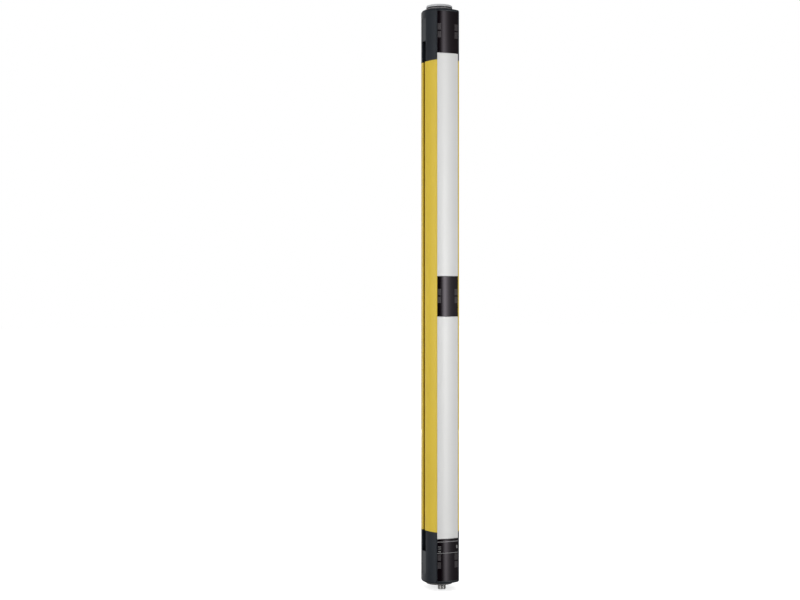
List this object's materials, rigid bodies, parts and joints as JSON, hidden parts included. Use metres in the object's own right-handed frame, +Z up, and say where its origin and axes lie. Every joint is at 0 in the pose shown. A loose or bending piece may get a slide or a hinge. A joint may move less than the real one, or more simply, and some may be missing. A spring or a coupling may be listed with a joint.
{
  "type": "safety light curtain receiver bar",
  "caption": "Upright receiver bar of a multiple-beam safety light curtain: coated profile with side T-slots, end caps, dark windows, indicator lamp and round plug connector.",
  "frame": {"origin": "on the bar's long axis, at the face of the round boss on the lower end cap", "axes": "+Z up along the bar, -Y is the optical front, X across the front"},
  "size_m": [0.052, 0.0652, 0.8907],
  "materials": {
    "yellow_coat": "extruded aluminium, yellow powder coat",
    "black_cast": "die-cast, fine charcoal coat",
    "white_cover": "satin white plastic",
    "black_window": "polished, passes infrared only",
    "rubber": "moulded",
    "nickel": "nickel plated",
    "steel": "zinc plated",
    "insert_plastic": "moulded",
    "contact": "gold plated",
    "lamp_lens": "frosted, translucent",
    "optic": "polished, clear",
    "board": "glass-fibre board with green mask",
    "led": "moulded",
    "chip": "moulded",
    "socket": "moulded",
    "holder_plastic": "moulded",
    "carrier": "mill finish",
    "retainer": "stamped sheet"
  },
  "bodies": {
    "root": {"housing_profile": "yellow_coat", "lower_end_cap": "black_cast", "upper_end_cap": "black_cast", "lower_cap_gasket": "rubber", "upper_cap_gasket": "rubber", "lower_cap_screws": "steel", "upper_cap_screws": "steel", "lower_window": "black_window", "indicator_window": "black_window", "lower_front_cover": "white_cover", "middle_window": "black_window", "upper_front_cover": "white_cover", "upper_window": "black_window", "right_window_seal": "rubber", "left_window_seal": "rubber", "indicator_dome": "lamp_lens", "dome_seal": "rubber", "lamp_board": "board", "lamp_leds": "led", "optics_carrier": "carrier", "module_screws": "steel", "main_board": "board", "main_board_screws": "steel", "processors": "chip", "output_switches": "chip", "cable_sockets": "socket", "display_board": "board", "seven_segment_display": "chip", "status_leds": "led", "light_guide": "optic", "connector_body": "nickel", "connector_insert": "insert_plastic", "connector_pins": "contact", "connector_seal": "rubber", "connector_retainer": "retainer", "connector_board": "board", "connector_screws": "steel", "lower_lens": "optic", "lower_lens_holder": "holder_plastic", "lower_receiver_board": "board", "lower_photodiode": "chip", "middle_lens": "optic", "middle_lens_holder": "holder_plastic", "middle_receiver_board": "board", "middle_photodiode": "chip", "upper_lens": "optic", "upper_lens_holder": "holder_plastic", "upper_receiver_board": "board", "upper_photodiode": "chip"}
  },
  "joints": []
}
